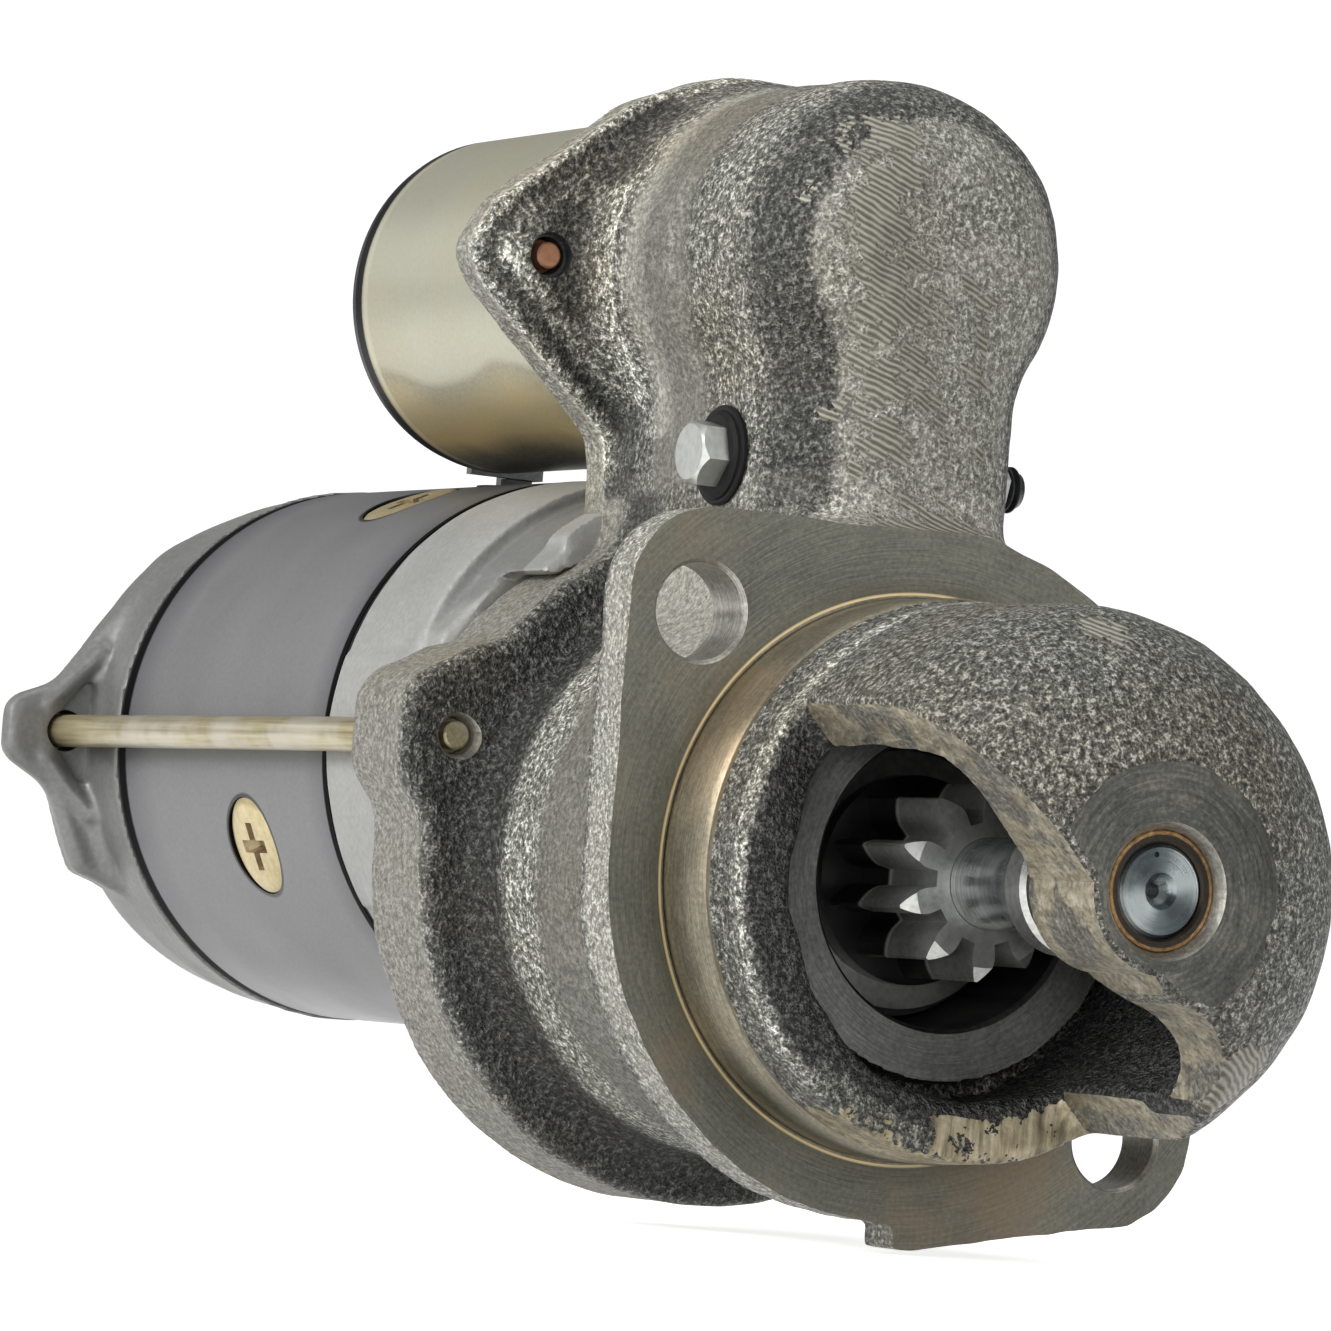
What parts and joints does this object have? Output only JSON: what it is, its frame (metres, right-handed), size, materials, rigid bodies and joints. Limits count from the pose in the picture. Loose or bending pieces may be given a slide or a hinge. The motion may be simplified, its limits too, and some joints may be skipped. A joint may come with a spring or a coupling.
{
  "type": "starter motor",
  "caption": "Offset gear-reduction starter motor with an open-nose cast drive housing, side-by-side solenoid, shift lever and sliding pinion drive.",
  "frame": {"origin": "centre of the mounting pilot on the flange's mounting face, on the drive shaft's axis", "axes": "+X along the drive shaft towards the nose, +Z towards the solenoid, +Y across"},
  "size_m": [0.3267, 0.1304, 0.1975],
  "materials": {
    "cast_iron": "rough sand casting, oiled grey-brown",
    "die_cast_aluminium": "matt die casting",
    "frame_paint": "semi-gloss grey paint",
    "yellow_zinc": "yellow iridescent zinc plate",
    "solenoid_zinc": "satin olive-gold zinc plate",
    "bright_zinc": "bright zinc plate",
    "machined_steel": "turned and ground",
    "gear_steel": "polished hardened steel",
    "dark_steel": "oiled black steel",
    "bronze": "sintered bronze",
    "copper": "bare copper",
    "laminations": "stacked electrical steel",
    "enamelled_copper": "varnished copper winding",
    "phenolic": "black moulded phenolic",
    "carbon": "copper-graphite brush",
    "rubber": "black rubber",
    "spring_steel": "spring wire",
    "black_washer": "black oxide"
  },
  "bodies": {
    "housing": {"drive_housing": "cast_iron", "nose_bush": "bronze", "center_housing": "die_cast_aluminium", "bearing_plate": "machined_steel", "shaft_bearing": "machined_steel", "armature_front_bearing": "machined_steel", "field_frame": "frame_paint", "pole_shoes": "laminations", "field_coils": "enamelled_copper", "pole_screws": "yellow_zinc", "frame_seals": "rubber", "end_frame": "die_cast_aluminium", "end_bearing": "bronze", "through_bolts": "yellow_zinc", "brush_holder": "machined_steel", "brushes": "carbon", "brush_springs": "spring_steel", "lever_pivot_bolt": "bright_zinc", "pivot_washer": "black_washer", "pivot_nut": "bright_zinc", "solenoid_can": "solenoid_zinc", "solenoid_winding": "enamelled_copper", "solenoid_core": "machined_steel", "solenoid_cap": "phenolic", "solenoid_screws": "yellow_zinc", "terminal_studs": "copper", "terminal_nuts": "bright_zinc", "switch_terminal": "bright_zinc", "return_spring": "spring_steel", "motor_lead": "copper", "lead_grommet": "rubber"},
    "armature": {"armature_shaft": "machined_steel", "armature_core": "laminations", "armature_windings": "enamelled_copper", "commutator": "copper"},
    "drive_shaft": {"drive_shaft": "machined_steel", "pinion_stop": "machined_steel"},
    "clutch": {"clutch_shell": "dark_steel"},
    "pinion": {"pinion_gear": "gear_steel"},
    "lever": {"shift_lever": "dark_steel"},
    "plunger": {"plunger": "machined_steel", "spring_seat": "machined_steel"},
    "contact": {"contact_disc": "copper"}
  },
  "joints": [
    {"name": "armature_spin", "type": "hinge", "parent": "housing", "child": "armature", "pos_m": [0, 0, 0.01875], "axis": [1, 0, 0], "continuous": true},
    {"name": "shaft_spin", "type": "hinge", "parent": "housing", "child": "drive_shaft", "pos_m": [0, 0, 0], "axis": [1, 0, 0], "continuous": true},
    {"name": "plunger_slide", "type": "slide", "parent": "housing", "child": "plunger", "axis": [-1, 0, 0], "range_m": [0, 0.0099], "stiffness_N_per_m": 3000, "springref_m": -0.008, "deforming": ["return_spring"]},
    {"name": "lever_pivot", "type": "hinge", "parent": "housing", "child": "lever", "pos_m": [-0.0317, 0, 0.0682], "axis": [0, -1, 0], "range_deg": [0, 16.88]},
    {"name": "drive_slide", "type": "slide", "parent": "drive_shaft", "child": "clutch", "axis": [1, 0, 0], "range_m": [0, 0.0201]},
    {"name": "pinion_overrun", "type": "hinge", "parent": "clutch", "child": "pinion", "pos_m": [0, 0, 0], "axis": [1, 0, 0], "continuous": true},
    {"name": "contact_slide", "type": "slide", "parent": "housing", "child": "contact", "axis": [-1, 0, 0], "range_m": [0, 0.00305]}
  ],
  "couplings": [
    {"joint": "shaft_spin", "follows": "armature_spin", "ratio": 0.30556},
    {"joint": "lever_pivot", "follows": "plunger_slide", "rad_per_m": 29.729},
    {"joint": "drive_slide", "follows": "plunger_slide", "ratio": 2.0202},
    {"joint": "contact_slide", "follows": "plunger_slide", "ratio": 0.30303}
  ]
}
